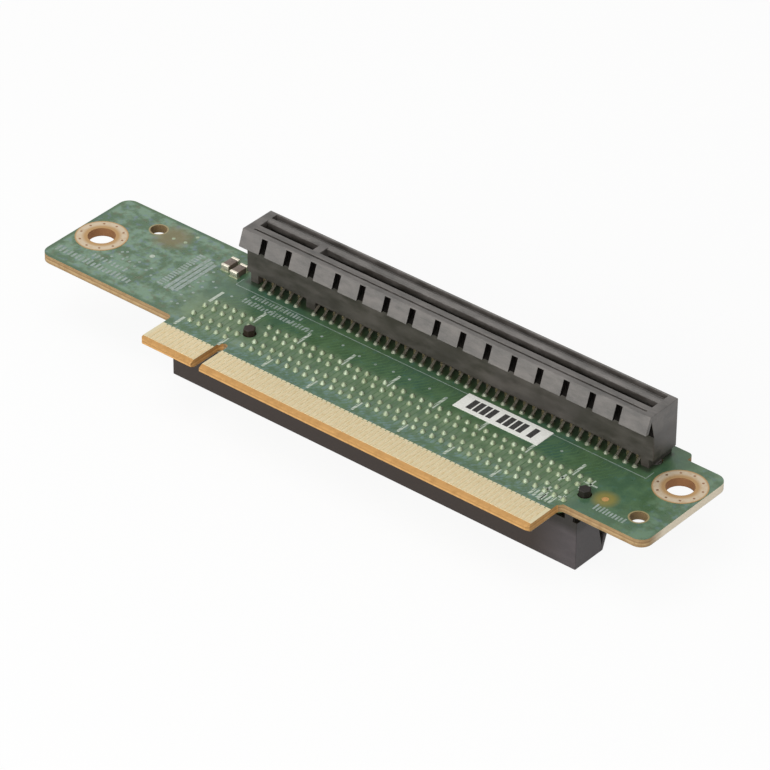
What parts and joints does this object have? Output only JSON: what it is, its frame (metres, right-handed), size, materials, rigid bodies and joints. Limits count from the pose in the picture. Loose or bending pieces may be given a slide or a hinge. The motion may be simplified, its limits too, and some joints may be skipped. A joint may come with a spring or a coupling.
{
  "type": "pcie riser card",
  "caption": "Flat double-sided riser board with a gold edge tab along the front, a long card slot standing on top, a second slot hanging below, and a screw hole in each ear.",
  "frame": {"origin": "middle of the edge tab's leading edge, at half the board's thickness", "axes": "+X along the board away from the key notch, +Y from the edge tab into the board, +Z out of the face that carries the upper slot"},
  "size_m": [0.1339, 0.0337, 0.024],
  "materials": {
    "green_laminate": "satin solder mask over woven glass and epoxy",
    "gold_plating": "thin hard gold, satin",
    "tinned_copper": "tin, satin",
    "solder": "solder, semi-gloss",
    "charcoal_moulding": "moulded glass-filled plastic",
    "black_moulding": "moulded glass-filled plastic",
    "capacitor_ceramic": "matt",
    "label_paper": "smooth coated paper"
  },
  "bodies": {
    "root": {"circuit_board": "green_laminate", "edge_fingers_top": "gold_plating", "edge_fingers_bottom": "gold_plating", "upper_slot_housing": "charcoal_moulding", "lower_slot_housing": "black_moulding", "capacitor_bodies": "capacitor_ceramic", "capacitor_terminals": "solder", "paper_label": "label_paper", "upper_slot_inner_contacts_plain_side": "tinned_copper", "upper_slot_inner_contacts_flared_side": "tinned_copper", "upper_slot_outer_contacts_plain_side": "tinned_copper", "upper_slot_outer_contacts_flared_side": "tinned_copper", "lower_slot_inner_contacts_plain_side": "tinned_copper", "lower_slot_inner_contacts_flared_side": "tinned_copper", "lower_slot_outer_contacts_plain_side": "tinned_copper", "lower_slot_outer_contacts_flared_side": "tinned_copper", "upper_slot_inner_solder_joints": "solder", "upper_slot_outer_solder_joints": "solder", "lower_slot_inner_solder_joints": "solder", "lower_slot_outer_solder_joints": "solder"}
  },
  "joints": []
}
